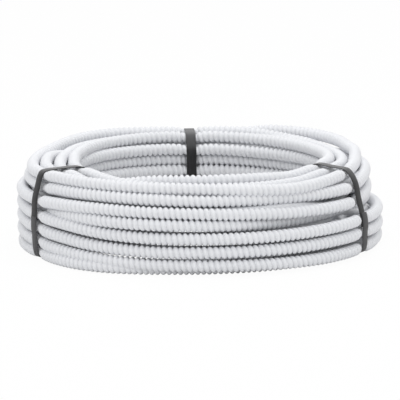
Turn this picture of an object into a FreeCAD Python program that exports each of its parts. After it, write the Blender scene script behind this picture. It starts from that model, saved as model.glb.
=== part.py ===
"""A strapped coil of ribbed flexible conduit, lying flat on its three straps.

The conduit is wound in level rows round an open eye, and three flat plastic
straps hold the turns together.  The winding is one turned solid that shows its
turns on every side.  The conduit's two ends are modelled for themselves: each
lies in a channel between two rows and ends in an open bore, and followed back
it moves over by one place in half a turn.

Millimetres, +Z up.  The coil's axis is Z, the side seen first is -Y, and the
undersides of the straps lie at z = 0.
"""
import FreeCAD
import Part

import math
import os

from FreeCAD import Vector

# The conduit itself
TUBE_OD = 16.0            # over the ribs
TUBE_BORE = 10.7          # clear inside, under the ribs
TURN_SPACING = 15.7       # between touching turns: the ribs nest a little
TURN_SIDES = 8            # flats that stand for one round turn of the winding

# The winding
COIL_OD = 437.0           # over the widest rows
TURNS_PER_ROW = 4
ROW_SETBACKS = (0.0, 0.0, 0.0, 0.0, 0.0, 6.5, 13.0)     # from the bottom row up

# The free ends.  Row 0 is the bottom row, place 0 is the outermost of its row,
# and azimuths are in degrees.  The end points the given way round, +1 being
# anticlockwise from above.
FREE_ENDS = (
    {"row": 3, "place": 0, "deeper": 1, "azimuth": 62.0, "points": -1, "level_arc": 180.0},
    {"row": 1, "place": 3, "deeper": 2, "azimuth": 235.0, "points": 1, "level_arc": 60.0},
)
RISER_ARC = 180.0         # half a turn, in which an end moves over by one place
ROUND_END = 30.0          # length of the end that is round in section
BORE_DEPTH = 20.0
CHANNEL_CLEARANCE = 0.1   # between a free end and the rows beside it

# The straps
STRAP_WIDTH = 12.0
STRAP_THICKNESS = 0.7
STRAP_CLEARANCE = 0.15
STRAP_AZIMUTHS = {"strap_back": 93.6, "strap_left": 206.0, "strap_right": 334.0}
LAP_LENGTH = 16.0         # the welded overlap of a strap's two ends
LAP_HEIGHT = 45.0         # its middle, above the floor
LAP_OFFSET = 1.8          # how far the upper layer lies to one side

AXIS = Vector(0, 0, 1)
ORIGIN = Vector(0, 0, 0)
TUBE_RADIUS = TUBE_OD / 2
SIDE_ANGLE = 2 * math.pi / TURN_SIDES
# A turn of flat sides keeps the area of the round one.
CORNER_RADIUS = TUBE_RADIUS * math.sqrt(SIDE_ANGLE / math.sin(SIDE_ANGLE))
FLAT_RADIUS = CORNER_RADIUS * math.cos(SIDE_ANGLE / 2)
HALF_FLAT = CORNER_RADIUS * math.sin(SIDE_ANGLE / 2)
CHANNEL_HALF = TUBE_RADIUS + CHANNEL_CLEARANCE
CHANNEL_DEPTH = TURN_SPACING + FLAT_RADIUS
TOP_ROW = len(ROW_SETBACKS) - 1
LAST_PLACE = TURNS_PER_ROW - 1


def row_height(row):
    """Height of a row's middle.  A row that steps inwards sinks between the turns below."""
    height = STRAP_THICKNESS + STRAP_CLEARANCE + CORNER_RADIUS
    for below, above in zip(ROW_SETBACKS[:row], ROW_SETBACKS[1:row + 1]):
        height += math.sqrt(TURN_SPACING ** 2 - (above - below) ** 2)
    return height


def turn_radius(row, place):
    """Radius of a turn's middle line."""
    return COIL_OD / 2 - FLAT_RADIUS - ROW_SETBACKS[row] - place * TURN_SPACING


def turn_centre(row, place):
    """Middle of a turn in the section: distance from the axis, and height."""
    return turn_radius(row, place), row_height(row)


def outside_turns():
    """The turns that show, anticlockwise round the section from the bottom row's inside."""
    bottom = [(0, place) for place in range(LAST_PLACE, -1, -1)]
    outer = [(row, 0) for row in range(1, TOP_ROW)]
    top = [(TOP_ROW, place) for place in range(TURNS_PER_ROW)]
    inner = [(row, LAST_PLACE) for row in range(TOP_ROW - 1, 0, -1)]
    return bottom + outer + top + inner


def way_between(start, end):
    """Angle of the outward normal on the way from one turn to the next."""
    return math.atan2(start[0] - end[0], end[1] - start[1])


def beside(centre, normal, out, along):
    """A point that lies out along the normal, and along the way round, from a centre."""
    return (centre[0] + out * math.cos(normal) - along * math.sin(normal),
            centre[1] + out * math.sin(normal) + along * math.cos(normal))


def flank(along):
    """How far out a turn's flank lies, at a distance along the way round from its middle."""
    return FLAT_RADIUS - (along - HALF_FLAT) * math.tan(SIDE_ANGLE)


def seldom_seen(row, place):
    """Whether a turn shows only on the underside or on the eye's wall."""
    return row == 0 or (place == LAST_PLACE and row < TOP_ROW)


def crest(centre, normal_in, normal_out, plainer):
    """The corners of a turn that shows, from one crevice to the next.

    A plainer turn has one side fewer, so on a straight stretch it is a ridge.
    """
    bend = (normal_out - normal_in + math.pi) % (2 * math.pi) - math.pi
    sweep = bend + SIDE_ANGLE
    sides = max(1, math.floor(sweep / SIDE_ANGLE))
    if plainer:
        sides -= 1
    if sides == 0:
        return [beside(centre, normal_in + bend / 2, CORNER_RADIUS, 0)]
    first = normal_in - SIDE_ANGLE / 2
    return [beside(centre, first + sweep * side / sides, CORNER_RADIUS, 0)
            for side in range(sides + 1)]


def channel(centre, normal):
    """The channel that a free end lies in, in place of the turn at centre."""
    mouth = flank(TURN_SPACING - CHANNEL_HALF)
    return [beside(centre, normal, out, along)
            for out, along in ((mouth, -CHANNEL_HALF), (-CHANNEL_DEPTH, -CHANNEL_HALF),
                               (-CHANNEL_DEPTH, CHANNEL_HALF), (mouth, CHANNEL_HALF))]


def winding_outline():
    """The section's outline: a crest for each turn that shows, and a crevice between two."""
    turns = outside_turns()
    free = {(end["row"], end["place"]) for end in FREE_ENDS}
    points = []
    for index, turn in enumerate(turns):
        before = turns[index - 1]
        after = turns[(index + 1) % len(turns)]
        centre = turn_centre(*turn)
        normal_in = way_between(turn_centre(*before), centre)
        normal_out = way_between(centre, turn_centre(*after))
        if turn in free:
            points += channel(centre, normal_out)
            continue
        points += crest(centre, normal_in, normal_out, seldom_seen(*turn))
        if after not in free:
            half = math.dist(centre, turn_centre(*after)) / 2
            points.append(beside(centre, normal_out, flank(half), half))
    return points


def turned_winding():
    """The winding without its free ends, turned round the coil's axis."""
    corners = [Vector(x, 0, z) for x, z in winding_outline()]
    outline = Part.makePolygon(corners + corners[:1])
    return Part.Face(outline).revolve(ORIGIN, AXIS, 360)


def channel_section(x, z, normal):
    """The section of a turn that fills its channel, in the XZ plane.

    It has a crest, and its plain back reaches into the winding behind the channel.
    """
    back = -CHANNEL_DEPTH - TUBE_RADIUS
    half = [(FLAT_RADIUS, HALF_FLAT), (flank(CHANNEL_HALF), CHANNEL_HALF), (back, CHANNEL_HALF)]
    around = half + [(out, -along) for out, along in reversed(half)]
    corners = [beside((x, z), normal, out, along) for out, along in around]
    corners = [Vector(across, 0, up) for across, up in corners]
    return Part.Face(Part.makePolygon(corners + corners[:1]))


def round_section(x, z, radius):
    """A round section in the XZ plane."""
    circle = Part.Circle(Vector(x, 0, z), Vector(0, -1, 0), radius)
    return Part.Face(Part.Wire(circle.toShape()))


def ring_part(section, centre, start, arc):
    """A section turned about a vertical axis from one azimuth, over a signed arc, in degrees."""
    moved = section.copy()
    moved.translate(centre)
    ring = moved.revolve(centre, AXIS, abs(arc))
    return ring.rotate(centre, AXIS, min(start, start + arc))


def free_end(row, place, deeper, azimuth, points, level_arc):
    """The solid of a free end, and the bore to cut from it.

    Followed back from its mouth, the conduit lies level in its place, crosses to
    the deeper place on a circle whose centre is shifted, so that the arcs meet
    without a kink, and goes on there until the level stretch covers it.
    """
    radius, height = turn_centre(row, place)
    deep_radius = turn_radius(row, deeper)
    normal = 0 if radius > deep_radius else math.pi
    back = -points
    round_arc = back * math.degrees(ROUND_END / radius)
    pieces = [ring_part(round_section(radius, height, TUBE_RADIUS), ORIGIN, azimuth, round_arc),
              ring_part(channel_section(radius, height, normal), ORIGIN, azimuth + round_arc,
                        back * level_arc - round_arc)]

    joint = azimuth + back * level_arc
    shift = (radius - deep_radius) / 2
    centre = Vector(shift * math.cos(math.radians(joint)), shift * math.sin(math.radians(joint)), 0)
    riser = channel_section((radius + deep_radius) / 2, height, normal)
    pieces.append(ring_part(riser, centre, joint, back * RISER_ARC))

    deep_arc = back * (360 - level_arc - RISER_ARC) + 2 * round_arc
    pieces.append(ring_part(channel_section(deep_radius, height, normal), ORIGIN,
                            joint + back * RISER_ARC, deep_arc))

    angle = math.radians(azimuth)
    mouth = Vector(radius * math.cos(angle), radius * math.sin(angle), height)
    inwards = Vector(-back * math.sin(angle), back * math.cos(angle), 0)
    bore = Part.makeCylinder(TUBE_BORE / 2, BORE_DEPTH, mouth, inwards)
    return pieces[0].fuse(pieces[1:]), bore


def conduit_coil():
    """The whole conduit: the turned winding with its two free ends."""
    ends = [free_end(**end) for end in FREE_ENDS]
    coil = turned_winding().fuse([solid for solid, bore in ends])
    return coil.cut([bore for solid, bore in ends])


def turn_way(a, b, c):
    """Positive where the path a, b, c turns left."""
    return (b[0] - a[0]) * (c[1] - b[1]) - (b[1] - a[1]) * (c[0] - b[0])


def hull(points):
    """The outer corners of a set of points, anticlockwise."""
    def half(ordered):
        chain = []
        for point in ordered:
            while len(chain) > 1 and turn_way(chain[-2], chain[-1], point) <= 1e-6:
                chain.pop()
            chain.append(point)
        return chain[:-1]

    ordered = sorted(points)
    return half(ordered) + half(ordered[::-1])


def pulled_tight(corners, offset):
    """The closed outline of a band pulled tight round the corners, at an offset."""
    outline = []
    for index, corner in enumerate(corners):
        normal_in = way_between(corners[index - 1], corner)
        normal_out = way_between(corner, corners[(index + 1) % len(corners)])
        half_bend = (normal_out - normal_in) % (2 * math.pi) / 2
        across, up = beside(corner, normal_in + half_bend, offset / math.cos(half_bend), 0)
        outline.append(Vector(across, 0, up))
    return Part.Face(Part.makePolygon(outline + outline[:1]))


def strap(azimuth):
    """A flat band pulled tight round the winding, with the lap of its ends on the outside."""
    corners = hull(winding_outline())
    outside = STRAP_CLEARANCE + STRAP_THICKNESS
    band = pulled_tight(corners, outside).cut(pulled_tight(corners, STRAP_CLEARANCE))
    band = band.extrude(Vector(0, STRAP_WIDTH, 0))
    lap = Part.makeBox(STRAP_THICKNESS, STRAP_WIDTH, LAP_LENGTH)
    lap.translate(Vector(COIL_OD / 2 + outside, LAP_OFFSET, LAP_HEIGHT - LAP_LENGTH / 2))
    band = band.fuse(lap).removeSplitter()
    band.translate(Vector(0, -STRAP_WIDTH / 2, 0))
    return band.rotate(ORIGIN, AXIS, azimuth)


def main():
    """Write one STEP file for each piece."""
    os.makedirs("parts", exist_ok=True)
    pieces = {"conduit_coil": conduit_coil()}
    for name, azimuth in STRAP_AZIMUTHS.items():
        pieces[name] = strap(azimuth)
    for name, shape in pieces.items():
        solid = shape.Solids[0] if len(shape.Solids) == 1 else shape
        solid.exportStep("parts/" + name + ".step")
        box = solid.optimalBoundingBox()
        print(name, "solids", len(shape.Solids), "valid", shape.isValid(),
              "volume", round(shape.Volume), "faces", len(shape.Faces),
              "box", [round(value, 2) for value in
                      (box.XMin, box.YMin, box.ZMin, box.XMax, box.YMax, box.ZMax)])


main()
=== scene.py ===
# %% [markdown]
# # A strapped coil of ribbed conduit
#
# The coil is one long, thin-walled plastic tube with a rib that winds round it
# like a screw thread.  It lies in rows round an open eye, and three plastic
# straps hold it.  The frame gives the coil's box and the straps' places.  This
# notebook winds the tube turn by turn, cuts the ribs into it as real shape, and
# pulls the straps tight over what it wound.

# %% Load the frame
import math

import bpy
import numpy as np
from mathutils import Matrix, Vector


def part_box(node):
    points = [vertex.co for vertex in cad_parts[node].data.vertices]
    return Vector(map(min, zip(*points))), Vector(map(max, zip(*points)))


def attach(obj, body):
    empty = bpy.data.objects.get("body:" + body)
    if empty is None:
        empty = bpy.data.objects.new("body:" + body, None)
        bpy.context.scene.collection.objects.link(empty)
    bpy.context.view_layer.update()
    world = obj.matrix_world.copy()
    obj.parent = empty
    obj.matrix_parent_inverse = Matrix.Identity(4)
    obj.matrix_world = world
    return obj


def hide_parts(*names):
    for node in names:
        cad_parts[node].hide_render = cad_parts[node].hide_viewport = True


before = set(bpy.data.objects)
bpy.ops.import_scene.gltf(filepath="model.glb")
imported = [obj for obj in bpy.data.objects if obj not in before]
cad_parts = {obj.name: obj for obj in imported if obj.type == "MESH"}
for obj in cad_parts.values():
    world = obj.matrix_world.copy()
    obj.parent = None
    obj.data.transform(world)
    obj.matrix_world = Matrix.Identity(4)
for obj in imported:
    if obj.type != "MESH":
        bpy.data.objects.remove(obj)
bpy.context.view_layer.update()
coil_low, coil_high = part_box("conduit_coil")
print("coil from", tuple(coil_low), "to", tuple(coil_high))

# %% [markdown]
# ## The camera
#
# The photograph was taken from far away with a long lens, a little above the
# coil, so near and far turns are almost equally large.  A short lens close by
# would spread the front rows too much.  The aim point, the height angle and a
# small roll were found from the coil's outline.

# %% Place the camera
CAMERA_DISTANCE = 6.0
CAMERA_ELEVATION = math.radians(10.1)
CAMERA_ROLL = math.radians(-0.6)
AIM = Vector((0.0, 0.0, 0.0524))
PIXELS_PER_METRE = 840.0
IMAGE_WIDTH = 400
SENSOR_WIDTH = 36.0
CLIP_END = 50.0


def place_camera():
    """A long lens on the -Y side that frames the coil as the photograph does."""
    bpy.ops.object.select_all(action="DESELECT")
    bpy.ops.object.camera_add()
    camera = bpy.context.object
    camera.name = "camera"
    back = Vector((0, -math.cos(CAMERA_ELEVATION), math.sin(CAMERA_ELEVATION)))
    upright = (-back).to_track_quat("-Z", "Y").to_matrix().to_4x4()
    roll = Matrix.Rotation(CAMERA_ROLL, 4, "Z")
    camera.matrix_world = Matrix.Translation(AIM + back * CAMERA_DISTANCE) @ upright @ roll
    camera.data.sensor_width = SENSOR_WIDTH
    camera.data.lens = SENSOR_WIDTH * PIXELS_PER_METRE * CAMERA_DISTANCE / IMAGE_WIDTH
    camera.data.clip_end = CLIP_END
    bpy.context.scene.camera = camera
    return camera


camera = place_camera()
print("lens", round(camera.data.lens), "mm")

# %% [markdown]
# ## Where each turn lies
#
# The tube is drawn a little thinner than its nominal size, so that the slits
# between the turns stay open.
#
# Row 0 is the bottom row, and place 0 is the outermost of its row.  A turn has a
# radius, a height and a shift of its ring in X, because a coil wound by hand is
# never quite centred.  Some turns also rise, or spread outwards, on their way
# round, and that is written as a few pairs of azimuth in degrees and
# millimetres off the ring.

# %% The sizes of the tube
TUBE_OD = 0.016
TUBE_RADIUS = 0.0073
BORE_RADIUS = 0.00535
TURN_SPACING = 0.0157
RIB_DEPTH = 0.0023

BOX_CLEARANCE = 0.0001
OUTER_RADIUS = coil_high.x - TUBE_OD / 2 - BOX_CLEARANCE
STRAP_THICKNESS = 0.0008
STRAP_AZIMUTHS = {"strap_back": 93.6, "strap_left": 206.0, "strap_right": 334.0}

# %% The level rows
MM = 0.001
TURNS_IN_A_ROW = 4
ROW_HEIGHTS = (0.0079, 0.0250, 0.0407, 0.0564, 0.0718, 0.0863, 0.1003)
BOTTOM_SETBACKS = (0.0, 12.5, 28.3, 44.1)


class Turn:
    """Where one turn lies: its ring, and how far it leaves the ring on its way round."""

    def __init__(self, radius, height, shift=0.0, rises=(), spreads=()):
        self.radius = radius
        self.height = height
        self.shift = shift
        self.rises = rises
        self.spreads = spreads


TURNS = {}
for row, height in enumerate(ROW_HEIGHTS):
    for place in range(TURNS_IN_A_ROW):
        TURNS[(row, place)] = Turn(OUTER_RADIUS - place * TURN_SPACING, height)
for place, setback in enumerate(BOTTOM_SETBACKS):
    TURNS[(0, place)].radius = OUTER_RADIUS - setback * MM

# %% [markdown]
# The outermost bottom turn bulges at the front, and is drawn in beside the
# straps.  Three turns just behind the outer ones sink back at the right front, so
# that they don't fill the grooves of the turns that cross in front of them.

# %% The uneven outer turns
TURNS[(0, 0)].spreads = (
    (165, 0), (185, -1.2), (206, -2.7), (226, 3.5), (240, 4), (262, 0), (285, 1.5), (312, 2.5),
    (326, 0), (340, -2), (352, -2), (368, 0))
TURNS[(0, 0)].rises = ((262, 0), (285, -0.4), (312, -0.4), (334, 0))
TURNS[(3, 1)].spreads = ((275, 0), (300, -5.5), (336, -5.5), (360, 0))
TURNS[(4, 1)].spreads = ((290, 0), (325, -7), (375, -6), (405, 0))
TURNS[(5, 1)].spreads = ((255, 0), (280, -9), (325, -9), (350, 0))

TURNS[(4, 0)] = Turn(
    OUTER_RADIUS - 5 * MM, 0.0718, -5 * MM,
    rises=((150, 0), (206, -0.8), (220, 1.0), (237, 2.2), (254, 1.6), (270, 0.5), (286, -1.9),
           (303, -4.8), (322, -6.4), (334, -6.4), (375, 0), (510, 0)),
    spreads=((310, 0), (330, 1.5), (345, -2.0), (360, -3.5), (375, -3), (405, 0), (680, 0)))
TURNS[(5, 0)] = Turn(
    OUTER_RADIUS - 11.5 * MM, 0.0863, -3 * MM,
    rises=((150, 0), (206, 0.2), (220, 0.8), (237, 1.5), (254, 0.9), (270, -0.4), (286, -1.6),
           (303, -3.0), (322, -4.4), (334, -3.6), (355, 1.5), (375, 3), (400, 1), (430, 0),
           (510, 0)),
    spreads=((20, 1), (45, 5), (75, 0), (110, 0), (130, 4), (150, 0), (270, 0), (286, -3),
             (303, -5), (320, -1), (334, 1.5), (350, 0), (380, 1)))

# %% [markdown]
# The turns of the top row spread at the back, where they lie loosely, dip where
# they change over, and come together under the straps.

# %% The top row
TURNS[(6, 0)] = Turn(
    OUTER_RADIUS - 18.9 * MM, 0.1003, -6 * MM,
    rises=((20, 1.9), (33, 3.4), (45, 4.4), (60, 4.3), (70, 4.5), (81, 3.3), (86, 2.2),
           (93, 2.4), (105, 2.6), (120, 3.5), (136, 3.6), (158, 1.2), (180, 0), (206, 0.8),
           (220, -0.2), (254, -0.9), (270, -1.2), (286, -4.2), (303, -6.6), (322, -5.0),
           (334, -2.4), (360, -0.4), (380, 1.9)),
    spreads=((20, 7), (33, 15), (45, 20), (60, 19), (81, 8.5), (93, 5.5), (105, 7.5),
             (120, 14.5), (134, 10), (146, 2.5), (158, -2), (170, -2), (182, 0), (190, 2.5),
             (198, 5.5), (206, 4), (218, 1), (240, 0), (262, 0), (286, 4), (303, 8), (318, 5),
             (334, 2), (360, -1), (380, 7)))
TURNS[(6, 1)] = Turn(
    0.1800, 0.1003, -2 * MM,
    rises=((20, -12), (50, -3), (90, -3), (110, -12), (150, -3), (170, 0), (206, 0.5),
           (235, -12), (360, -13), (380, -12)),
    spreads=((10, 0), (30, 6), (50, 12), (80, 12), (110, 0), (182, 0), (190, 2.5), (198, 5.5),
             (206, 4), (220, 0), (370, 0)))
TURNS[(6, 2)] = Turn(
    0.1662, 0.1004, 1 * MM,
    rises=((60, -3), (90, -4), (130, -2), (160, 0), (206, 0.5), (232, -4), (270, -6),
           (312, -7), (334, -2), (360, -4), (400, -2), (420, -3)),
    spreads=((20, 4), (50, 12), (90, 17), (120, 20), (140, 12), (165, 0), (182, 0), (190, 2.5),
             (198, 5.5), (206, 4), (222, 0), (340, 0), (380, 4)))
TURNS[(6, 3)] = Turn(
    0.1505, 0.1008, 1.5 * MM,
    rises=((45, -1.0), (90, 0.7), (140, 0.7), (180, -0.3), (206, 0.5), (219, -1.6),
           (247, -0.6), (270, 0.7), (293, 0.2), (312, -2.4), (321, -1.8), (334, 1.4), (360, 0),
           (405, -1.0)),
    spreads=((20, 2), (49, 8), (90, 17), (111, 20), (136, 16), (159, 6), (180, 0), (190, 2),
             (198, 4.5), (206, 3), (222, 0), (330, 0), (380, 2)))

# %% The eye's wall
EYE_TILT = ((45, -2.0), (90, 0), (140, 1.5), (200, 0), (330, 0), (405, -2.0))
TURNS[(5, 3)] = Turn(0.1555, 0.0876, rises=EYE_TILT,
                     spreads=((60, 0), (130, 4), (170, 0), (420, 0)))
TURNS[(4, 3)] = Turn(0.1640, 0.0742, rises=EYE_TILT)
TURNS[(3, 3)] = Turn(0.1585, 0.0615, rises=EYE_TILT)
TURNS[(2, 3)] = Turn(0.1630, 0.0433)

# %% [markdown]
# One stretch of the second layer comes forward into a gap between two outer
# turns at the front.  The outer turns round it sway up and down a little, each
# in its own way.

# %% The gap at the front
FRONT_GAP = "front gap"
TURNS[FRONT_GAP] = Turn(
    OUTER_RADIUS, 0.0592,
    rises=((190, 0), (206, 0), (237, 0.9), (270, 0), (303, -3.2), (334, -6.0), (550, 0)))

SWAY_D = ((195, 0), (220, 1.9), (232, 1.0), (240, 0.2), (254, -0.4), (270, 0), (286, 0.2),
          (303, 0.6), (322, 1.7), (340, 2.0), (365, 2.5), (395, 1.0), (425, 0))
SWAY_C = ((195, 0), (220, 1.2), (232, 0.2), (254, -0.7), (270, 0), (303, 0.5), (322, 1.4),
          (340, 1.4), (365, 1.5), (395, 0.6), (425, 0))
SWAY_B = ((195, 0), (220, 1.9), (232, 2.4), (254, 1.0), (270, 1.6), (303, 1.0), (322, 1.0),
          (340, 0.9), (352, 2.0), (365, 2.5), (390, 0))
SWAY_FRONT = ((200, 0), (220, 2.2), (237, 0.7), (250, 0), (280, 0), (303, -1.2), (322, 0))

# %% [markdown]
# A smooth line through a few pairs of numbers does two jobs here: it gives a
# turn's rise or spread at any azimuth, and it gives how far a turn has moved over
# into the next place.

# %% A smooth line through a few pairs
def smooth_through(pairs, x):
    """The value at x of a smooth line through pairs of (x, value), level outside them."""
    xs = np.array([pair[0] for pair in pairs], float)
    ys = np.array([pair[1] for pair in pairs], float)
    slopes = np.zeros(len(xs))
    slopes[1:-1] = (ys[2:] - ys[:-2]) / (xs[2:] - xs[:-2])
    x = np.clip(x, xs[0], xs[-1])
    k = np.clip(np.searchsorted(xs, x, side="right") - 1, 0, len(xs) - 2)
    width = xs[k + 1] - xs[k]
    u = (x - xs[k]) / width
    start = ys[k] * (1 + 2 * u) * (1 - u) ** 2 + slopes[k] * width * u * (1 - u) ** 2
    end = ys[k + 1] * (3 - 2 * u) * u ** 2 + slopes[k + 1] * width * (u - 1) * u ** 2
    return start + end


EVEN = ((0.0, 0.0), (0.25, 0.156), (0.5, 0.5), (0.75, 0.844), (1.0, 1.0))
SINK = ((0.0, 0.0), (0.144, 0.28), (0.317, 0.66), (0.5, 0.81), (0.683, 0.87), (0.856, 0.93),
        (1.0, 1.0))
TUCK = ((0.0, 0.0), (0.2, -0.05), (0.4, -0.02), (0.5, 0.3), (0.58, 0.7), (0.7, 0.92),
        (0.857, 0.98), (1.0, 1.0))

# %% [markdown]
# ## How the straps pinch the turns
#
# A tight strap presses the turns under it towards the middle of the winding, and
# they bulge out again on both sides of it.  A bottom turn can't give way
# downwards, so it rises a little.

# %% The pinch
PINCH = 0.0026
PINCH_LENGTH = 0.013
BOTTOM_LIFT = 0.3
WINDING_MIDDLE = (0.181, 0.0545)


def degrees_apart(azimuth, other):
    """The angle from one azimuth to another, the short way round."""
    return (azimuth - other + 180) % 360 - 180


def strap_nearness(azimuth, radius):
    """1 under a strap, falling to 0 a few tube diameters to each side of it."""
    near = 0.0
    for strap_azimuth in STRAP_AZIMUTHS.values():
        apart = math.radians(degrees_apart(azimuth, strap_azimuth)) * radius
        near = near + math.exp(-(apart / PINCH_LENGTH) ** 2)
    return near


def off_the_ring(pairs, azimuth):
    """Metres off the ring at an azimuth, from pairs that may run past 360 degrees."""
    if not pairs:
        return 0.0
    on_way = azimuth % 360
    if on_way < pairs[0][0]:
        on_way += 360
    return float(smooth_through(pairs, on_way)) * MM


def turn_at(key, azimuth):
    """Radius and height of a turn at an azimuth."""
    turn = TURNS[key]
    radius = turn.radius + turn.shift * math.cos(math.radians(azimuth))
    return (radius + off_the_ring(turn.spreads, azimuth),
            turn.height + off_the_ring(turn.rises, azimuth))


def pinched(radius, height, azimuth):
    """The same place after the straps have pressed it inwards."""
    near = strap_nearness(azimuth, radius) * PINCH
    inwards = Vector((WINDING_MIDDLE[0] - radius, WINDING_MIDDLE[1] - height)).normalized()
    if height < TUBE_OD:
        return radius + inwards.x * near, height + BOTTOM_LIFT * near
    return radius + inwards.x * near, height + inwards.y * near


# %% [markdown]
# ## The strands
#
# The visible turns belong to a few strands.  Each starts in one place of the
# winding and moves over into the next place on a stretch of its way, written as
# its first and last azimuth, the place and the way of moving.  The outer lower
# strand begins with the conduit's outer end, sinks by one row each time it passes
# the front, runs on as a flat spiral on the underside and ends with the inner end
# in the eye.  The long upper strand climbs the eye's wall, crosses the top and
# comes down on the outside.  Azimuths count on beyond 360 degrees.

# %% The strands of the winding
OUTER_END = 62.0
INNER_END = 235.0
TURN = 360.0


def new_strand(first, span, moves=(), sways=(), bulge=(), open_ends=(False, False), pieces=1):
    """A strand from its first place, with what it does on its way."""
    return {"first": first, "span": span, "moves": moves, "sways": sways, "bulge": bulge,
            "open_ends": open_ends, "pieces": pieces}


STRANDS = {
    "conduit_lower": new_strand(
        (3, 0), (OUTER_END, INNER_END + 6 * TURN),
        moves=[(180, 360, (2, 0), SINK), (540, 720, (1, 0), SINK), (900, 1080, (0, 0), SINK),
               (1260, 1400, (0, 1), TUCK), (1620, 1760, (0, 2), TUCK), (1980, 2120, (0, 3), TUCK),
               (2280, 2345, (1, 3), EVEN)],
        sways=(SWAY_D, SWAY_C, SWAY_B), open_ends=(True, True), pieces=2),
    "conduit_upper": new_strand(
        (2, 2), (270.0, 3780.0),
        moves=[(300, 350, (2, 3), EVEN), (600, 645, (3, 3), EVEN), (950, 995, (4, 3), EVEN),
               (1300, 1345, (5, 3), EVEN), (1650, 1695, (6, 3), EVEN), (2000, 2045, (6, 2), EVEN),
               (2350, 2395, (6, 1), EVEN), (2570, 2612, (6, 0), EVEN), (2942, 2982, (5, 0), EVEN),
               (3290, 3330, (4, 0), EVEN), (3635, 3675, (4, 1), EVEN)],
        bulge=((2922, 0), (2942, 5), (2960, 10), (2982, 5), (3000, 0)), pieces=3),
    "conduit_front": new_strand(
        (3, 1), (165.0, 470.0),
        moves=[(192, 238, FRONT_GAP, EVEN), (252, 306, (3, 1), EVEN)], sways=(SWAY_FRONT,)),
    "conduit_top": new_strand(
        (5, 1), (80.0, 262.0),
        moves=[(125, 175, (6, 1), EVEN), (200, 240, (5, 1), EVEN)]),
    "conduit_low_eye": new_strand((1, 2), (230.0, 530.0)),
}


def strand_at(strand, azimuth):
    """Radius and height of a strand at an azimuth that counts on turn after turn."""
    radius, height = turn_at(strand["first"], azimuth)
    for start, end, target, shape in strand["moves"]:
        if azimuth <= start:
            break
        share = float(smooth_through(shape, (azimuth - start) / (end - start)))
        to_radius, to_height = turn_at(target, azimuth)
        radius += (to_radius - radius) * share
        height += (to_height - height) * share
    for turn, sway in enumerate(strand["sways"]):
        if sway[0][0] < azimuth - turn * TURN < sway[-1][0]:
            height += float(smooth_through(sway, azimuth - turn * TURN)) * MM
    if strand["bulge"]:
        radius += float(smooth_through(strand["bulge"], azimuth)) * MM
    return pinched(radius, height, azimuth)


# %% [markdown]
# ## The route of a strand
#
# A strand's route is a NURBS spline through points that a loop works out, every
# three degrees.  The tube then follows points read back from that spline.

# %% From strand to route
ROUTE_STEP = 3.0
SPLINE_ORDER = 3
SPLINE_RESOLUTION = 3


def route_points(strand):
    """The strand's control points, as places in the frame."""
    start, end = strand["span"]
    count = round((end - start) / ROUTE_STEP)
    points = []
    for azimuth in np.linspace(start, end, count + 1):
        radius, height = strand_at(strand, azimuth)
        angle = math.radians(azimuth)
        points.append((radius * math.cos(angle), radius * math.sin(angle), height))
    return points


def follow_spline(name, points):
    """Points along the NURBS spline that has these control points."""
    curve = bpy.data.curves.new(name + "_route", "CURVE")
    curve.dimensions = "3D"
    spline = curve.splines.new("NURBS")
    spline.points.add(len(points) - 1)
    for point, place in zip(spline.points, points):
        point.co = (*place, 1.0)
    spline.order_u = SPLINE_ORDER
    spline.use_endpoint_u = True
    spline.resolution_u = SPLINE_RESOLUTION
    holder = bpy.data.objects.new(name + "_route", curve)
    bpy.context.scene.collection.objects.link(holder)
    bpy.context.view_layer.update()
    line = bpy.data.meshes.new_from_object(holder)
    places = np.empty(len(line.vertices) * 3)
    line.vertices.foreach_get("co", places)
    bpy.data.objects.remove(holder)
    bpy.data.meshes.remove(line)
    bpy.data.curves.remove(curve)
    return places.reshape(-1, 3)


# %% [markdown]
# ## The ribbed tube
#
# The rib is a single thread.  If the mesh ran in plain rings, the thread would
# cut across them and look jagged, so each row of points leans with the thread:
# once round the tube it has moved on by one pitch, and it joins the row that
# lies one pitch further.  Every crest and every groove then has its own points.
#
# In a tight coil the ribs of one turn sit in the grooves of the next, so the
# slit between them is a zigzag.  That needs a whole number of ribs in a turn.  The
# profile is the share of the groove's depth on each step from crest to crest.

# %% The pitch of the rib
RIBS_IN_A_TURN = 200
MEASURED_FROM = 630.0


def length_of_turn(strand, start):
    """The length of one turn of a strand, from this azimuth on."""
    corners = np.array(route_points(dict(strand, span=(start, start + TURN))))
    return float(np.linalg.norm(np.diff(corners, axis=0), axis=1).sum())


RIB_PITCH = length_of_turn(STRANDS["conduit_lower"], MEASURED_FROM) / RIBS_IN_A_TURN
print("a rib every", round(RIB_PITCH / MM, 2), "mm")

# %% The shape of the rib
RIB_STEPS = 6
TUBE_SIDES = 14
RIB_PROFILE = np.array([0.0, 0.06, 0.45, 1.0, 0.45, 0.06])

# %% The line that a tube follows
class Route:
    """A dense line with its length, and the place and frame at any distance along it."""

    def __init__(self, places):
        self.places = places
        steps = np.linalg.norm(np.diff(places, axis=0), axis=1)
        self.marks = np.concatenate(([0.0], np.cumsum(steps)))
        self.length = self.marks[-1]
        tangents = np.gradient(places, self.marks, axis=0)
        self.tangents = tangents / np.linalg.norm(tangents, axis=1)[:, None]

    def read(self, values, distance):
        """Values that belong to the line's points, read at distances along it."""
        return np.stack([np.interp(distance, self.marks, values[:, k]) for k in range(3)], -1)

    def at(self, distance):
        """Places, directions, outward sides and upward sides at distances along the line."""
        place = self.read(self.places, distance)
        along = self.read(self.tangents, distance)
        along /= np.linalg.norm(along, axis=-1, keepdims=True)
        out = place * np.array([1.0, 1.0, 0.0])
        out -= along * np.sum(out * along, axis=-1, keepdims=True)
        out /= np.linalg.norm(out, axis=-1, keepdims=True)
        return place, along, out, np.cross(along, out)


# %% [markdown]
# A strap also flattens the tubes under it.  The flattening hardly reaches past
# the strap's edges, so it falls off steeply.

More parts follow.
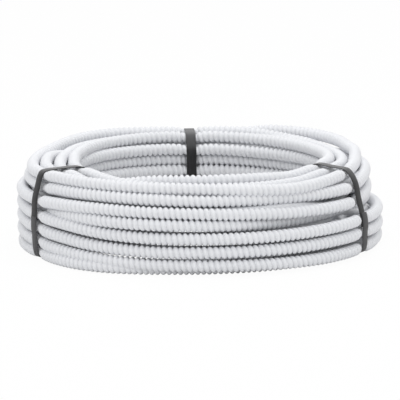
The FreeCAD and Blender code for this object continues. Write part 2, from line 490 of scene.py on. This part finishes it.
# %% The surface of the tube
SQUASH = 0.26
SQUASH_LENGTH = 0.0105
SQUASH_STEEPNESS = 4


def flattening(place):
    """The share of its radius that a tube keeps at these places."""
    azimuths = np.degrees(np.arctan2(place[..., 1], place[..., 0]))
    radii = np.hypot(place[..., 0], place[..., 1])
    near = np.zeros_like(radii)
    for strap_azimuth in STRAP_AZIMUTHS.values():
        apart = np.radians(degrees_apart(azimuths, strap_azimuth)) * radii
        near += np.exp(-(apart / SQUASH_LENGTH) ** SQUASH_STEEPNESS)
    return 1 - SQUASH * np.minimum(near, 1)


def tube_surface(route, distance, angle, radius):
    """Points on the tube at distances, angles round it and radii."""
    place, _, out, up = route.at(distance)
    radius = radius * flattening(place)
    sideways = np.cos(angle)[..., None] * out + np.sin(angle)[..., None] * up
    return place + radius[..., None] * sideways


def quads_between(rings, sides, lead=0):
    """Quads between rings of points, where the last side joins a ring that lies lead further."""
    ring, side = np.meshgrid(np.arange(rings), np.arange(sides), indexing="ij")
    next_side = (side + 1) % sides
    next_ring = ring + np.where(side == sides - 1, lead, 0)
    return np.stack([ring * sides + side, next_ring * sides + next_side,
                     (next_ring + 1) * sides + next_side, (ring + 1) * sides + side],
                    -1).reshape(-1, 4)


def ribbed_rows(route, first, last):
    """Points, quads and groove depths of the leaning rows first to last."""
    rows = np.arange(first, last + RIB_STEPS + 1)
    step = RIB_PITCH / RIB_STEPS
    row, side = np.meshgrid(rows, np.arange(TUBE_SIDES), indexing="ij")
    distance = np.minimum((row + RIB_STEPS * side / TUBE_SIDES) * step, route.length)
    angle = 2 * math.pi * side / TUBE_SIDES
    groove = RIB_PROFILE[row % RIB_STEPS]
    points = tube_surface(route, distance, angle, TUBE_RADIUS - RIB_DEPTH * groove)
    quads = quads_between(last - first, TUBE_SIDES, lead=RIB_STEPS)
    return points.reshape(-1, 3), quads, groove.reshape(-1)


# %% Build a mesh from arrays
def mesh_from_arrays(name, points, quads, groove):
    """A smooth mesh object whose points carry the groove depth as an attribute."""
    used = np.unique(quads)
    renumber = np.zeros(len(points), int)
    renumber[used] = np.arange(len(used))
    mesh = bpy.data.meshes.new(name)
    mesh.vertices.add(len(used))
    mesh.vertices.foreach_set("co", points[used].astype(np.float32).ravel())
    mesh.loops.add(len(quads) * 4)
    mesh.loops.foreach_set("vertex_index", renumber[quads].astype(np.int32).ravel())
    mesh.polygons.add(len(quads))
    mesh.polygons.foreach_set("loop_start", np.arange(0, len(quads) * 4, 4, dtype=np.int32))
    mesh.update(calc_edges=True)
    mesh.validate()
    mesh.polygons.foreach_set("use_smooth", np.ones(len(mesh.polygons), bool))
    depth = mesh.attributes.new("groove", "FLOAT", "POINT")
    depth.data.foreach_set("value", groove[used].astype(np.float32))
    piece = bpy.data.objects.new(name, mesh)
    bpy.context.scene.collection.objects.link(piece)
    return piece


# %% [markdown]
# ## The open ends
#
# A conduit's end is cut square, so it shows the wall's thickness and the bore.
# The end is a short plain sleeve: the first stretch of the outside, up to where
# the thread begins, a ring at the cut with broken edges, and the bore behind it,
# which is closed out of sight.

# %% A square-cut end
BORE_DEPTH = 0.025
MOUTH_RADIUS = 0.0074
SLEEVE_LENGTH = RIB_PITCH * 1.2
TAPER = 0.98
EDGE_LENGTH = 0.0003
EDGE_HEIGHT = 0.0002
CLOSED_RADIUS = 0.0005
END_SIDES = TUBE_SIDES * 2
END_PROFILE = np.array([
    (SLEEVE_LENGTH, MOUTH_RADIUS * TAPER), (EDGE_LENGTH, MOUTH_RADIUS),
    (0.0, MOUTH_RADIUS - EDGE_HEIGHT), (0.0, BORE_RADIUS + EDGE_HEIGHT),
    (EDGE_LENGTH, BORE_RADIUS), (BORE_DEPTH, BORE_RADIUS * TAPER), (BORE_DEPTH, CLOSED_RADIUS)])


def cut_end(route, name, at_start):
    """The square-cut end of a tube, as a mesh of its own that meets the first rib."""
    sign = 1.0 if at_start else -1.0
    edge = 0.0 if at_start else route.length
    count = len(END_PROFILE)
    ring, side = np.meshgrid(np.arange(count), np.arange(END_SIDES), indexing="ij")
    depth, radius = END_PROFILE[ring, 0], END_PROFILE[ring, 1]
    angle = 2 * math.pi * side / END_SIDES
    points = tube_surface(route, edge + sign * depth, angle, radius).reshape(-1, 3)
    quads = quads_between(count - 1, END_SIDES)[:, [0, 3, 2, 1]]
    if not at_start:
        quads = quads[:, ::-1]
    return mesh_from_arrays(name, points, quads, np.zeros(len(points)))


# %% [markdown]
# ## Winding the coil
#
# Each strand is cut into pieces that stay light enough to handle.  Neighbouring
# pieces share their last row of points, so the thread runs on without a seam.

# %% Wind the strands
PATH_STEP = 0.004

conduit_pieces = []
conduit_lengths = []


def join(target, others):
    """Join meshes into the first of them."""
    bpy.ops.object.select_all(action="DESELECT")
    for piece in [target, *others]:
        piece.select_set(True)
    bpy.context.view_layer.objects.active = target
    bpy.ops.object.join()


def declare_conduit(piece, route, start, end):
    """Say that a piece is this stretch of the conduit: attach it and note its length."""
    stretch = np.arange(start, end, PATH_STEP)
    line = route.at(np.minimum(stretch, route.length))[0]
    length = (len(line) - 1) * PATH_STEP
    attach(piece, "root")
    conduit_pieces.append(piece)
    conduit_lengths.append(length)
    print(piece.name, "length", round(length, 2), "m, quads", len(piece.data.polygons))


def wind(name, strand):
    """Make a strand's pieces, and declare each as a stretch of the conduit."""
    route = Route(follow_spline(name, route_points(strand)))
    rows = int(route.length / RIB_PITCH * RIB_STEPS) - RIB_STEPS
    count = strand["pieces"]
    cuts = [round(rows * k / count) for k in range(count + 1)]
    step = RIB_PITCH / RIB_STEPS
    open_start, open_end = strand["open_ends"]
    for number, (first, last) in enumerate(zip(cuts, cuts[1:])):
        piece_name = name if count == 1 else f"{name}_{number + 1}"
        piece = mesh_from_arrays(piece_name, *ribbed_rows(route, first, last))
        at_start = open_start and number == 0
        at_end = open_end and number == count - 1
        if at_start:
            join(piece, [cut_end(route, piece_name + "_end", True)])
        if at_end:
            join(piece, [cut_end(route, piece_name + "_end", False)])
        declare_conduit(piece, route, first * step, (last + RIB_STEPS) * step)


for strand_name, strand in STRANDS.items():
    wind(strand_name, strand)

# %% [markdown]
# ## The turns inside
#
# The turns inside the winding are hidden.  They are the same conduit, but a plain
# tube is enough to close the slits between the outer turns.

# %% Wind the hidden turns
HIDDEN = new_strand(
    (2, 2), (0.0, 8 * TURN),
    moves=[(300, 360, (3, 2), EVEN), (660, 720, (4, 2), EVEN), (1020, 1080, (5, 2), EVEN),
           (1380, 1440, (5, 1), EVEN), (1740, 1800, (4, 1), EVEN), (2100, 2160, (2, 1), EVEN),
           (2460, 2520, (1, 1), EVEN)])
HIDDEN_SIDES = 8
HIDDEN_STEP = 0.02


def wind_hidden(name, strand):
    """A plain tube along the hidden strand."""
    route = Route(follow_spline(name, route_points(strand)))
    count = int(route.length / HIDDEN_STEP)
    ring, side = np.meshgrid(np.arange(count + 1), np.arange(HIDDEN_SIDES), indexing="ij")
    radius = np.full(ring.shape, TUBE_RADIUS - RIB_DEPTH / 2)
    radius[0] = radius[-1] = CLOSED_RADIUS
    angle = 2 * math.pi * side / HIDDEN_SIDES
    points = tube_surface(route, ring * HIDDEN_STEP, angle, radius).reshape(-1, 3)
    quads = quads_between(count, HIDDEN_SIDES)
    piece = mesh_from_arrays(name, points, quads, np.zeros(len(points)))
    declare_conduit(piece, route, 0, count * HIDDEN_STEP)


wind_hidden("conduit_inside", HIDDEN)
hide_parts("conduit_coil")
print("conduit in all", round(sum(conduit_lengths), 1), "m")

# %% [markdown]
# ## The straps
#
# A strap is a flat band pulled tight, so its line is the line of a string round
# the tubes under it: straight from tube to tube, and bent round the outermost.
# It is worked out in the plane of radius and height, anticlockwise.

# %% The string round the tubes
BEND_STEP = math.radians(12)
STRAIGHT = 1e-9


def tubes_under(azimuth):
    """Radius and height of every tube that passes under a strap at this azimuth."""
    places = []
    for strand in [*STRANDS.values(), HIDDEN]:
        start, end = strand["span"]
        here = azimuth + math.ceil((start - azimuth) / TURN) * TURN
        while here <= end:
            places.append(strand_at(strand, here))
            here += TURN
    return places


def turn_way(a, b, c):
    """Positive where the path a, b, c turns left."""
    return (b[0] - a[0]) * (c[1] - b[1]) - (b[1] - a[1]) * (c[0] - b[0])


def hull(places):
    """The outer corners of a set of places, anticlockwise."""
    ordered = sorted(places)

    def half(sequence):
        chain = []
        for place in sequence:
            while len(chain) > 1 and turn_way(chain[-2], chain[-1], place) <= STRAIGHT:
                chain.pop()
            chain.append(place)
        return chain[:-1]

    return half(ordered) + half(ordered[::-1])


def tight_line(corners, offset):
    """Places along a string pulled tight round tubes at the corners, at an offset."""
    line = []
    for index, (x, y) in enumerate(corners):
        before = corners[index - 1]
        after = corners[(index + 1) % len(corners)]
        angle_in = math.atan2(before[0] - x, y - before[1])
        angle_out = math.atan2(x - after[0], after[1] - y)
        bend = (angle_out - angle_in) % (2 * math.pi)
        steps = max(1, math.ceil(bend / BEND_STEP))
        for k in range(steps + 1):
            angle = angle_in + bend * k / steps
            line.append((x + offset * math.cos(angle), y + offset * math.sin(angle)))
    return line


# %% [markdown]
# A band has some stiffness, so its bends are wider than a string's.  The string's
# line is averaged over a short reach, and then kept clear of the tubes.

# %% The line of a stiff band
STRAP_STEP = 0.0016
STIFFNESS = 0.0042
STIFF_REACH = 10
STRING_OFFSET = 0.0066
LEAST_CLEARANCE = 0.0059


def even_steps(line, step):
    """A closed line with its points a step apart."""
    places = np.array([*line, line[0]])
    steps = np.linalg.norm(np.diff(places, axis=0), axis=1)
    marks = np.concatenate(([0.0], np.cumsum(steps)))
    wanted = np.linspace(0, marks[-1], round(marks[-1] / step), endpoint=False)
    return np.stack([np.interp(wanted, marks, places[:, k]) for k in range(2)], -1)


def stiff_line(tubes):
    """The closed line of a band that bends in wide curves and stays outside the tubes."""
    places = even_steps(tight_line(hull(tubes), STRING_OFFSET), STRAP_STEP)
    shifts = np.arange(-STIFF_REACH, STIFF_REACH + 1)
    weights = np.exp(-(shifts * STRAP_STEP / STIFFNESS) ** 2 / 2)
    weights /= weights.sum()
    line = sum(weight * np.roll(places, shift, axis=0) for shift, weight in zip(shifts, weights))
    for tube in np.array(tubes):
        away = line - tube
        distance = np.linalg.norm(away, axis=1, keepdims=True)
        clear = tube + away / distance * LEAST_CLEARANCE
        line = np.where(distance < LEAST_CLEARANCE, clear, line)
    return line


# %% [markdown]
# One end of the band lies under the other at the outside.  So the band starts
# there, goes once round the winding and comes up again over its own start, a
# thickness further out.  Where it isn't pulled quite tight, it also stands off a
# little at its upper bend.

# %% The line with its lap
STRAP_WIDTH = 0.012
OUTER_SIDE = 0.2
NOT_THERE = 1.0
LAP_START = 0.037
LAP_END = 0.053
LAP_GAP = 0.0001
LAP_LIFT_LENGTH = 0.007
SLACK_PLACE = 0.058
SLACK_SPREAD = 0.018


def lapped_line(loop, slack):
    """The open line from the under end, once round, to the upper end over it."""
    from_start = np.abs(loop[:, 1] - LAP_START)
    from_start = np.where(loop[:, 0] > OUTER_SIDE, from_start, NOT_THERE)
    loop = np.roll(loop, -int(np.argmin(from_start)), axis=0)
    lap_count = int(np.argmax(loop[:, 1] > LAP_END))
    ahead = np.roll(loop, -1, axis=0) - np.roll(loop, 1, axis=0)
    outward = np.stack([ahead[:, 1], -ahead[:, 0]], -1)
    outward = outward / np.linalg.norm(ahead, axis=1)[:, None]
    lift_count = round(LAP_LIFT_LENGTH / STRAP_STEP)
    lift = np.zeros(len(loop) + lap_count)
    lift[len(loop) - lift_count:len(loop)] = np.linspace(0, 1, lift_count + 1)[1:]
    lift[len(loop):] = 1.0
    line = np.concatenate([loop, loop[:lap_count]])
    outward = np.concatenate([outward, outward[:lap_count]])
    from_place = (np.arange(len(line)) * STRAP_STEP - SLACK_PLACE) / SLACK_SPREAD
    stand_off = lift * (STRAP_THICKNESS + LAP_GAP) + slack * np.exp(-from_place ** 2)
    return line + outward * stand_off[:, None]


# %% [markdown]
# Each band also drifts sideways on its way, so that its under layer shows beside
# the upper one.  The drift is written as pairs of the share of the way and
# millimetres, the slant as an angle.  The band starts as a flat grid, whose
# points are then laid along its line.

# %% Make a strap
STRAP_DRIFTS = {
    "strap_back": ((0, 0.5), (1, -0.5)),
    "strap_left": ((0, -4.6), (0.08, -2.6), (0.5, -2.0), (1, -2.6)),
    "strap_right": ((0, -4.0), (0.08, -2.4), (0.5, -1.5), (1, -0.4)),
}
STRAP_SLANTS = {"strap_back": 0.0, "strap_left": 3.5, "strap_right": -3.5}
STRAP_SLACKS = {"strap_back": 0.0, "strap_left": 0.0, "strap_right": 0.0032}
BEVEL_SHARE = 0.3
BEVEL_ANGLE = math.radians(50)
SMOOTH_ANGLE = math.radians(35)


def thicken(strap):
    """Give a flat band its thickness and its broken edges."""
    solidify = strap.modifiers.new("thickness", "SOLIDIFY")
    solidify.thickness = STRAP_THICKNESS
    solidify.offset = 1.0
    bpy.ops.object.modifier_apply(modifier=solidify.name)
    bevel = strap.modifiers.new("edges", "BEVEL")
    bevel.width = STRAP_THICKNESS * BEVEL_SHARE
    bevel.segments = 2
    bevel.limit_method = "ANGLE"
    bevel.angle_limit = BEVEL_ANGLE
    bpy.ops.object.modifier_apply(modifier=bevel.name)
    bpy.ops.object.shade_smooth_by_angle(angle=SMOOTH_ANGLE)


def make_strap(node, azimuth):
    """The band that stands for a CAD strap."""
    line = lapped_line(stiff_line(tubes_under(azimuth)), STRAP_SLACKS[node])
    count = len(line)
    bpy.ops.object.select_all(action="DESELECT")
    bpy.ops.mesh.primitive_grid_add(x_subdivisions=count - 1, y_subdivisions=2, size=2.0)
    strap = bpy.context.object
    strap.name = strap.data.name = node + "_band"
    for vertex in strap.data.vertices:
        share = (vertex.co.x + 1) / 2
        radius, height = line[round(share * (count - 1))]
        sideways = float(smooth_through(STRAP_DRIFTS[node], share)) * MM
        vertex.co = (radius, sideways - vertex.co.y * STRAP_WIDTH / 2, height)
    length = STRAP_STEP * (count - 1)
    for corner in strap.data.uv_layers.active.data:
        corner.uv = ((corner.uv[0] - 1) * length, corner.uv[1] * STRAP_WIDTH)
    thicken(strap)
    outer_side = Vector((OUTER_RADIUS, 0, 0))
    slant = Matrix.Rotation(math.radians(STRAP_SLANTS[node]), 4, "Z")
    turned = Matrix.Translation(outer_side) @ slant
    strap.data.transform(turned @ Matrix.Translation(-outer_side))
    strap.data.transform(Matrix.Rotation(math.radians(azimuth), 4, "Z"))
    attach(strap, "root")
    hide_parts(node)
    print(strap.name, "band length", round(length, 3), "m, polygons", len(strap.data.polygons))
    return strap


straps = [make_strap(node, azimuth) for node, azimuth in STRAP_AZIMUTHS.items()]

# %% [markdown]
# ## The finishes
#
# The conduit is plain pale plastic with a soft sheen, with painted shade that
# makes it a touch greyer in the grooves.  Both plastics share one group of
# nodes, which gives soft clouds and a fine grain.

# %% A group for uneven plastic
CLOUD_DETAIL = 3.0
GRAIN_DETAIL = 1.0


def uneven_plastic_group():
    """Clouds of lighter and darker plastic, and fine grain as a height."""
    group = bpy.data.node_groups.new("uneven plastic", "ShaderNodeTree")
    for name, kind, direction in (("Vector", "NodeSocketVector", "INPUT"),
                                  ("Cloud size", "NodeSocketFloat", "INPUT"),
                                  ("Grain size", "NodeSocketFloat", "INPUT"),
                                  ("Clouds", "NodeSocketFloat", "OUTPUT"),
                                  ("Grain", "NodeSocketFloat", "OUTPUT")):
        group.interface.new_socket(name, in_out=direction, socket_type=kind)
    nodes, links = group.nodes, group.links
    source = nodes.new("NodeGroupInput")
    result = nodes.new("NodeGroupOutput")
    for size, output, detail in (("Cloud size", "Clouds", CLOUD_DETAIL),
                                 ("Grain size", "Grain", GRAIN_DETAIL)):
        noise = nodes.new("ShaderNodeTexNoise")
        noise.inputs["Detail"].default_value = detail
        links.new(source.outputs["Vector"], noise.inputs["Vector"])
        links.new(source.outputs[size], noise.inputs["Scale"])
        links.new(noise.outputs["Fac"], result.inputs[output])
    return group


UNEVEN = uneven_plastic_group()


def uneven_plastic(nodes, links, vector, cloud_size, grain_size):
    """The shared group in a material, fed with a vector."""
    uneven = nodes.new("ShaderNodeGroup")
    uneven.node_tree = UNEVEN
    uneven.inputs["Cloud size"].default_value = cloud_size
    uneven.inputs["Grain size"].default_value = grain_size
    links.new(vector, uneven.inputs["Vector"])
    return uneven


def bumped(nodes, links, height, strength, distance):
    """The surface's normal, bumped by a height."""
    bump = nodes.new("ShaderNodeBump")
    bump.inputs["Strength"].default_value = strength
    bump.inputs["Distance"].default_value = distance
    links.new(height, bump.inputs["Height"])
    return bump.outputs["Normal"]


def new_material(name):
    """A new material with its nodes, its links and its Principled BSDF."""
    material = bpy.data.materials.new(name)
    material.use_nodes = True
    nodes, links = material.node_tree.nodes, material.node_tree.links
    return material, nodes, links, nodes["Principled BSDF"]


# %% The conduit's plastic
CONDUIT_COLOUR = (0.795, 0.805, 0.83, 1.0)
# Painted shade: the grooves are drawn greyer than the crests.
GROOVE_SHADE_COLOUR = (0.745, 0.755, 0.785, 1.0)
CONDUIT_CLOUD_SIZE = 14.0
CONDUIT_GRAIN_SIZE = 1400.0
CLOUD_STRENGTH = 0.04
SMOOTHEST, ROUGHEST = 0.36, 0.50
CONDUIT_BUMP = 0.08
CONDUIT_BUMP_HEIGHT = 0.0001


def conduit_material():
    """Pale, semi-matte plastic with painted shade that makes it a little darker in the grooves.
    """
    material, nodes, links, shader = new_material("pale conduit plastic")
    coordinates = nodes.new("ShaderNodeTexCoord")
    uneven = uneven_plastic(nodes, links, coordinates.outputs["Object"],
                            CONDUIT_CLOUD_SIZE, CONDUIT_GRAIN_SIZE)
    groove = nodes.new("ShaderNodeAttribute")
    groove.attribute_name = "groove"
    # Painted shade: the groove depth mixes the colour towards the greyer groove shade.
    colour = nodes.new("ShaderNodeMix")
    colour.data_type = "RGBA"
    colour.inputs["A"].default_value = CONDUIT_COLOUR
    colour.inputs["B"].default_value = GROOVE_SHADE_COLOUR
    links.new(groove.outputs["Fac"], colour.inputs["Factor"])
    clouds = nodes.new("ShaderNodeMix")
    clouds.data_type = "RGBA"
    clouds.blend_type = "MULTIPLY"
    clouds.inputs["Factor"].default_value = CLOUD_STRENGTH
    links.new(colour.outputs["Result"], clouds.inputs["A"])
    links.new(uneven.outputs["Clouds"], clouds.inputs["B"])
    links.new(clouds.outputs["Result"], shader.inputs["Base Color"])
    roughness = nodes.new("ShaderNodeMapRange")
    roughness.inputs["To Min"].default_value = SMOOTHEST
    roughness.inputs["To Max"].default_value = ROUGHEST
    links.new(uneven.outputs["Clouds"], roughness.inputs["Value"])
    links.new(roughness.outputs["Result"], shader.inputs["Roughness"])
    normal = bumped(nodes, links, uneven.outputs["Grain"], CONDUIT_BUMP, CONDUIT_BUMP_HEIGHT)
    links.new(normal, shader.inputs["Normal"])
    return material


# %% [markdown]
# The straps are dark plastic with fine streaks along the band and a fine pressed
# pattern of diamonds.  The U of the band's UV map counts metres from its upper
# end, below zero, and V counts metres across it.  The last stretch before the
# upper end, low on the band's outer side, is painted paler as painted light from
# the bright floor below, and the faces that look up are painted paler as painted
# light from above.

# %% The straps' plastic
STRAP_COLOUR = (0.009, 0.009, 0.010, 1.0)
STREAK_COLOUR = (0.026, 0.026, 0.028, 1.0)
# Painted light: the last stretch, low on the outer side, is drawn paler, as if lit from the floor
# below.
BOUNCE_LIGHT_COLOUR = (0.052, 0.052, 0.055, 1.0)
# Painted light: faces that look up are drawn paler, as if lit from above.
TOP_LIGHT_COLOUR = (0.105, 0.105, 0.108, 1.0)
STREAK_STRETCH = (0.06, 1.0, 1.0)
STRAP_CLOUD_SIZE = 300.0
STRAP_GRAIN_SIZE = 1600.0
# Where along the band the painted floor light starts and where it is full.
BOUNCE_LIGHT_FROM, BOUNCE_LIGHT_FULLY = -0.072, -0.058
# How far up a face must look for the painted top light to start and to be full.
TOP_LIGHT_FROM, TOP_LIGHT_FULLY = 0.35, 0.98
STRAP_ROUGHNESS = 0.40
STRAP_SPECULAR = 0.26
DIAMOND_SCALE = 520.0
DIAMOND_BUMP = 0.35
DIAMOND_BUMP_HEIGHT = 0.0002


def diamonds(nodes, links, place_on_band):
    """The height of a fine diamond pattern: two sets of slanting waves multiplied."""
    height = nodes.new("ShaderNodeMath")
    height.operation = "MULTIPLY"
    for across, socket in ((1.0, 0), (-1.0, 1)):
        way = nodes.new("ShaderNodeMapping")
        way.inputs["Scale"].default_value = (1.0, across, 1.0)
        wave = nodes.new("ShaderNodeTexWave")
        wave.bands_direction = "DIAGONAL"
        wave.inputs["Scale"].default_value = DIAMOND_SCALE
        links.new(place_on_band, way.inputs["Vector"])
        links.new(way.outputs["Vector"], wave.inputs["Vector"])
        links.new(wave.outputs["Fac"], height.inputs[socket])
    return height.outputs["Value"]


def strap_material():
    """Dark plastic with fine streaks, a fine pressed diamond pattern, and painted light on its
    lower outer stretch and upward faces.
    """
    material, nodes, links, shader = new_material("dark strap plastic")
    place_on_band = nodes.new("ShaderNodeUVMap")
    stretch = nodes.new("ShaderNodeMapping")
    stretch.inputs["Scale"].default_value = STREAK_STRETCH
    links.new(place_on_band.outputs["UV"], stretch.inputs["Vector"])
    uneven = uneven_plastic(nodes, links, stretch.outputs["Vector"],
                            STRAP_CLOUD_SIZE, STRAP_GRAIN_SIZE)
    colour = nodes.new("ShaderNodeMix")
    colour.data_type = "RGBA"
    colour.inputs["A"].default_value = STRAP_COLOUR
    colour.inputs["B"].default_value = STREAK_COLOUR
    links.new(uneven.outputs["Grain"], colour.inputs["Factor"])
    along = nodes.new("ShaderNodeSeparateXYZ")
    links.new(place_on_band.outputs["UV"], along.inputs["Vector"])
    geometry = nodes.new("ShaderNodeNewGeometry")
    facing = nodes.new("ShaderNodeSeparateXYZ")
    links.new(geometry.outputs["Normal"], facing.inputs["Vector"])
    # Painted light: the lower outer stretch and the upward faces are mixed paler here.
    for source, start, end, paler in ((along.outputs["X"], BOUNCE_LIGHT_FROM, BOUNCE_LIGHT_FULLY, BOUNCE_LIGHT_COLOUR),
                                      (facing.outputs["Z"], TOP_LIGHT_FROM, TOP_LIGHT_FULLY, TOP_LIGHT_COLOUR)):
        share = nodes.new("ShaderNodeMapRange")
        share.inputs["From Min"].default_value = start
        share.inputs["From Max"].default_value = end
        links.new(source, share.inputs["Value"])
        paled = nodes.new("ShaderNodeMix")
        paled.data_type = "RGBA"
        paled.inputs["B"].default_value = paler
        links.new(share.outputs["Result"], paled.inputs["Factor"])
        links.new(colour.outputs["Result"], paled.inputs["A"])
        colour = paled
    links.new(colour.outputs["Result"], shader.inputs["Base Color"])
    shader.inputs["Roughness"].default_value = STRAP_ROUGHNESS
    shader.inputs["Specular IOR Level"].default_value = STRAP_SPECULAR
    height = diamonds(nodes, links, place_on_band.outputs["UV"])
    normal = bumped(nodes, links, height, DIAMOND_BUMP, DIAMOND_BUMP_HEIGHT)
    links.new(normal, shader.inputs["Normal"])
    return material


# %% Give the pieces their plastics
PALE = conduit_material()
DARK = strap_material()


def give_material(piece, material):
    """The piece has this one material all over."""
    piece.data.materials.clear()
    piece.data.materials.append(material)


for piece in conduit_pieces:
    give_material(piece, PALE)
for strap in straps:
    give_material(strap, DARK)
for node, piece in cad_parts.items():
    give_material(piece, PALE if node == "conduit_coil" else DARK)

# %% [markdown]
# ## The floor and the light
#
# The photograph is a cut-out on white.  The floor is pale and takes shadows, but
# the camera sees it nearly white, so they stay faint.  An even white surround
# lights the coil from all sides, with a wide soft lamp above it and another in
# front.  So the tops of the turns are brightest and the slits are dark.

# %% The floor
FLOOR_LEVEL = -0.0003
FLOOR_SIZE = 60.0
FLOOR_COLOUR = (0.85, 0.85, 0.85, 1.0)
WHITE_SHARE = 0.96


def make_floor():
    """A plain pale floor that shows nearly white, with a faint shadow."""
    bpy.ops.object.select_all(action="DESELECT")
    bpy.ops.mesh.primitive_plane_add(size=FLOOR_SIZE, location=(0, 0, FLOOR_LEVEL))
    floor = bpy.context.object
    floor.name = "floor"
    material, nodes, links, shader = new_material("pale floor")
    nodes.remove(shader)
    output = nodes["Material Output"]
    diffuse = nodes.new("ShaderNodeBsdfDiffuse")
    diffuse.inputs["Color"].default_value = FLOOR_COLOUR
    white = nodes.new("ShaderNodeEmission")
    white.inputs["Strength"].default_value = 1.0
    path = nodes.new("ShaderNodeLightPath")
    share = nodes.new("ShaderNodeMath")
    share.operation = "MULTIPLY"
    share.inputs[1].default_value = WHITE_SHARE
    mix = nodes.new("ShaderNodeMixShader")
    links.new(path.outputs["Is Camera Ray"], share.inputs[0])
    links.new(share.outputs["Value"], mix.inputs["Fac"])
    links.new(diffuse.outputs["BSDF"], mix.inputs[1])
    links.new(white.outputs["Emission"], mix.inputs[2])
    links.new(mix.outputs["Shader"], output.inputs["Surface"])
    give_material(floor, material)


make_floor()

# %% The world
WORLD_LEVEL = 0.79


def make_world():
    """An even white surround, pure white where it is seen, mirrored or looked through."""
    world = bpy.data.worlds.new("surround")
    world.use_nodes = True
    nodes, links = world.node_tree.nodes, world.node_tree.links
    background = nodes["Background"]
    background.inputs["Color"].default_value = (1.0, 1.0, 1.0, 1.0)
    path = nodes.new("ShaderNodeLightPath")
    seen = path.outputs["Is Camera Ray"]
    for ray in ("Is Glossy Ray", "Is Transmission Ray"):
        either = nodes.new("ShaderNodeMath")
        either.operation = "MAXIMUM"
        links.new(seen, either.inputs[0])
        links.new(path.outputs[ray], either.inputs[1])
        seen = either.outputs["Value"]
    strength = nodes.new("ShaderNodeMapRange")
    strength.inputs["To Min"].default_value = WORLD_LEVEL
    strength.inputs["To Max"].default_value = 1.0
    links.new(seen, strength.inputs["Value"])
    links.new(strength.outputs["Result"], background.inputs["Strength"])
    bpy.context.scene.world = world


make_world()

# %% The lamps
LAMPS = (
    {"name": "lamp above", "place": (0.1, 0.2, 2.0), "size": 1.8, "power": 16.0},
    {"name": "lamp in front", "place": (-0.6, -4.0, 2.6), "size": 2.6, "power": 26.0},
)


def add_area(name, place, size, power):
    """A soft square lamp that points at the coil."""
    bpy.ops.object.select_all(action="DESELECT")
    bpy.ops.object.light_add(type="AREA", location=place)
    lamp = bpy.context.object
    lamp.name = name
    lamp.data.size = size
    lamp.data.energy = power
    lamp.rotation_euler = (AIM - Vector(place)).to_track_quat("-Z", "Y").to_euler()


for lamp in LAMPS:
    add_area(**lamp)
bpy.context.scene.view_settings.view_transform = "Standard"
